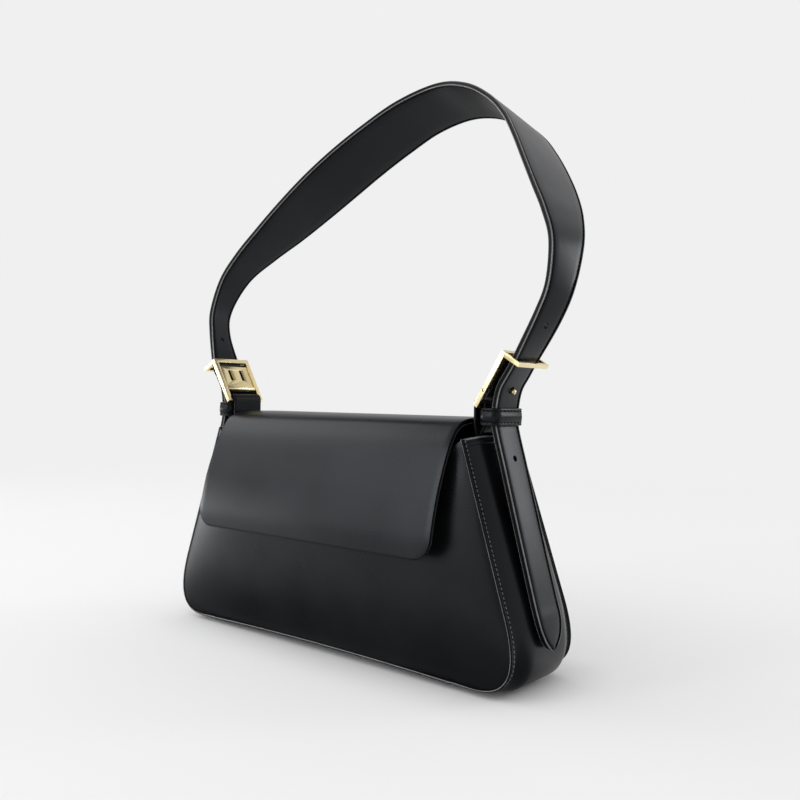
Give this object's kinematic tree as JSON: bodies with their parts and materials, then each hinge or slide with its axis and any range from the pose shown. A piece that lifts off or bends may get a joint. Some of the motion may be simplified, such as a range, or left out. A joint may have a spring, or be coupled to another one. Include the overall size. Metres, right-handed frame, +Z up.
{
  "type": "shoulder bag",
  "caption": "Small trapezoid leather shoulder bag with a front flap, bulging side gussets and a wide shaped strap threaded through metal buckles.",
  "frame": {"origin": "middle of the level patch of the base that the bag stands on", "axes": "+Z up, -Y towards the flap's front, +X towards the bag's right side as seen from the front"},
  "size_m": [0.2966, 0.1729, 0.3834],
  "materials": {
    "shell_leather": "smooth black leather, soft gloss",
    "strap_leather": "smooth black leather, two plies, stitched edges",
    "lining_cloth": "matt black woven lining",
    "pale_gold": "pale gold plated, polished",
    "fibre_board": "plain fibre stiffener board, hidden",
    "magnet_steel": "thin plated magnet disc, hidden"
  },
  "bodies": {
    "bag": {"front_panel": "shell_leather", "back_panel": "shell_leather", "right_gusset": "shell_leather", "left_gusset": "shell_leather", "base_panel": "shell_leather", "front_edge_binding": "shell_leather", "back_edge_binding": "shell_leather", "base_board": "fibre_board", "front_lining": "lining_cloth", "back_lining": "lining_cloth", "right_gusset_lining": "lining_cloth", "left_gusset_lining": "lining_cloth", "base_lining": "lining_cloth", "inner_pocket": "lining_cloth", "front_magnet": "magnet_steel"},
    "flap": {"flap_leather": "shell_leather", "flap_board": "fibre_board", "flap_lining": "lining_cloth", "flap_magnet": "magnet_steel"},
    "strap": {"strap_leather": "strap_leather", "strap_lining": "strap_leather", "right_tab": "strap_leather", "left_tab": "strap_leather", "right_keeper": "strap_leather", "left_keeper": "strap_leather"},
    "right_buckle": {"right_buckle_frame": "pale_gold", "right_stud_plate": "pale_gold", "right_plate_pin": "pale_gold", "right_ball_stud": "pale_gold"},
    "left_buckle": {"left_buckle_frame": "pale_gold", "left_stud_plate": "pale_gold", "left_plate_pin": "pale_gold", "left_ball_stud": "pale_gold"}
  },
  "joints": [
    {"name": "flap_hinge", "type": "hinge", "parent": "bag", "child": "flap", "pos_m": [0, 0.0296, 0.1438], "axis": [-1, 0, 0], "range_deg": [0, 175]},
    {"name": "strap_swing", "type": "hinge", "parent": "bag", "child": "strap", "pos_m": [0, -0.0052, 0.1405], "axis": [1, 0, 0], "range_deg": [-20, 25], "deforming": ["right_tab", "left_tab"]},
    {"name": "right_buckle_pivot", "type": "hinge", "parent": "strap", "child": "right_buckle", "pos_m": [0.1062, -0.0052, 0.1553], "axis": [0, 1, 0], "range_deg": [-3, 3]},
    {"name": "left_buckle_pivot", "type": "hinge", "parent": "strap", "child": "left_buckle", "pos_m": [-0.1062, -0.0052, 0.1553], "axis": [0, 1, 0], "range_deg": [-3, 3]}
  ]
}
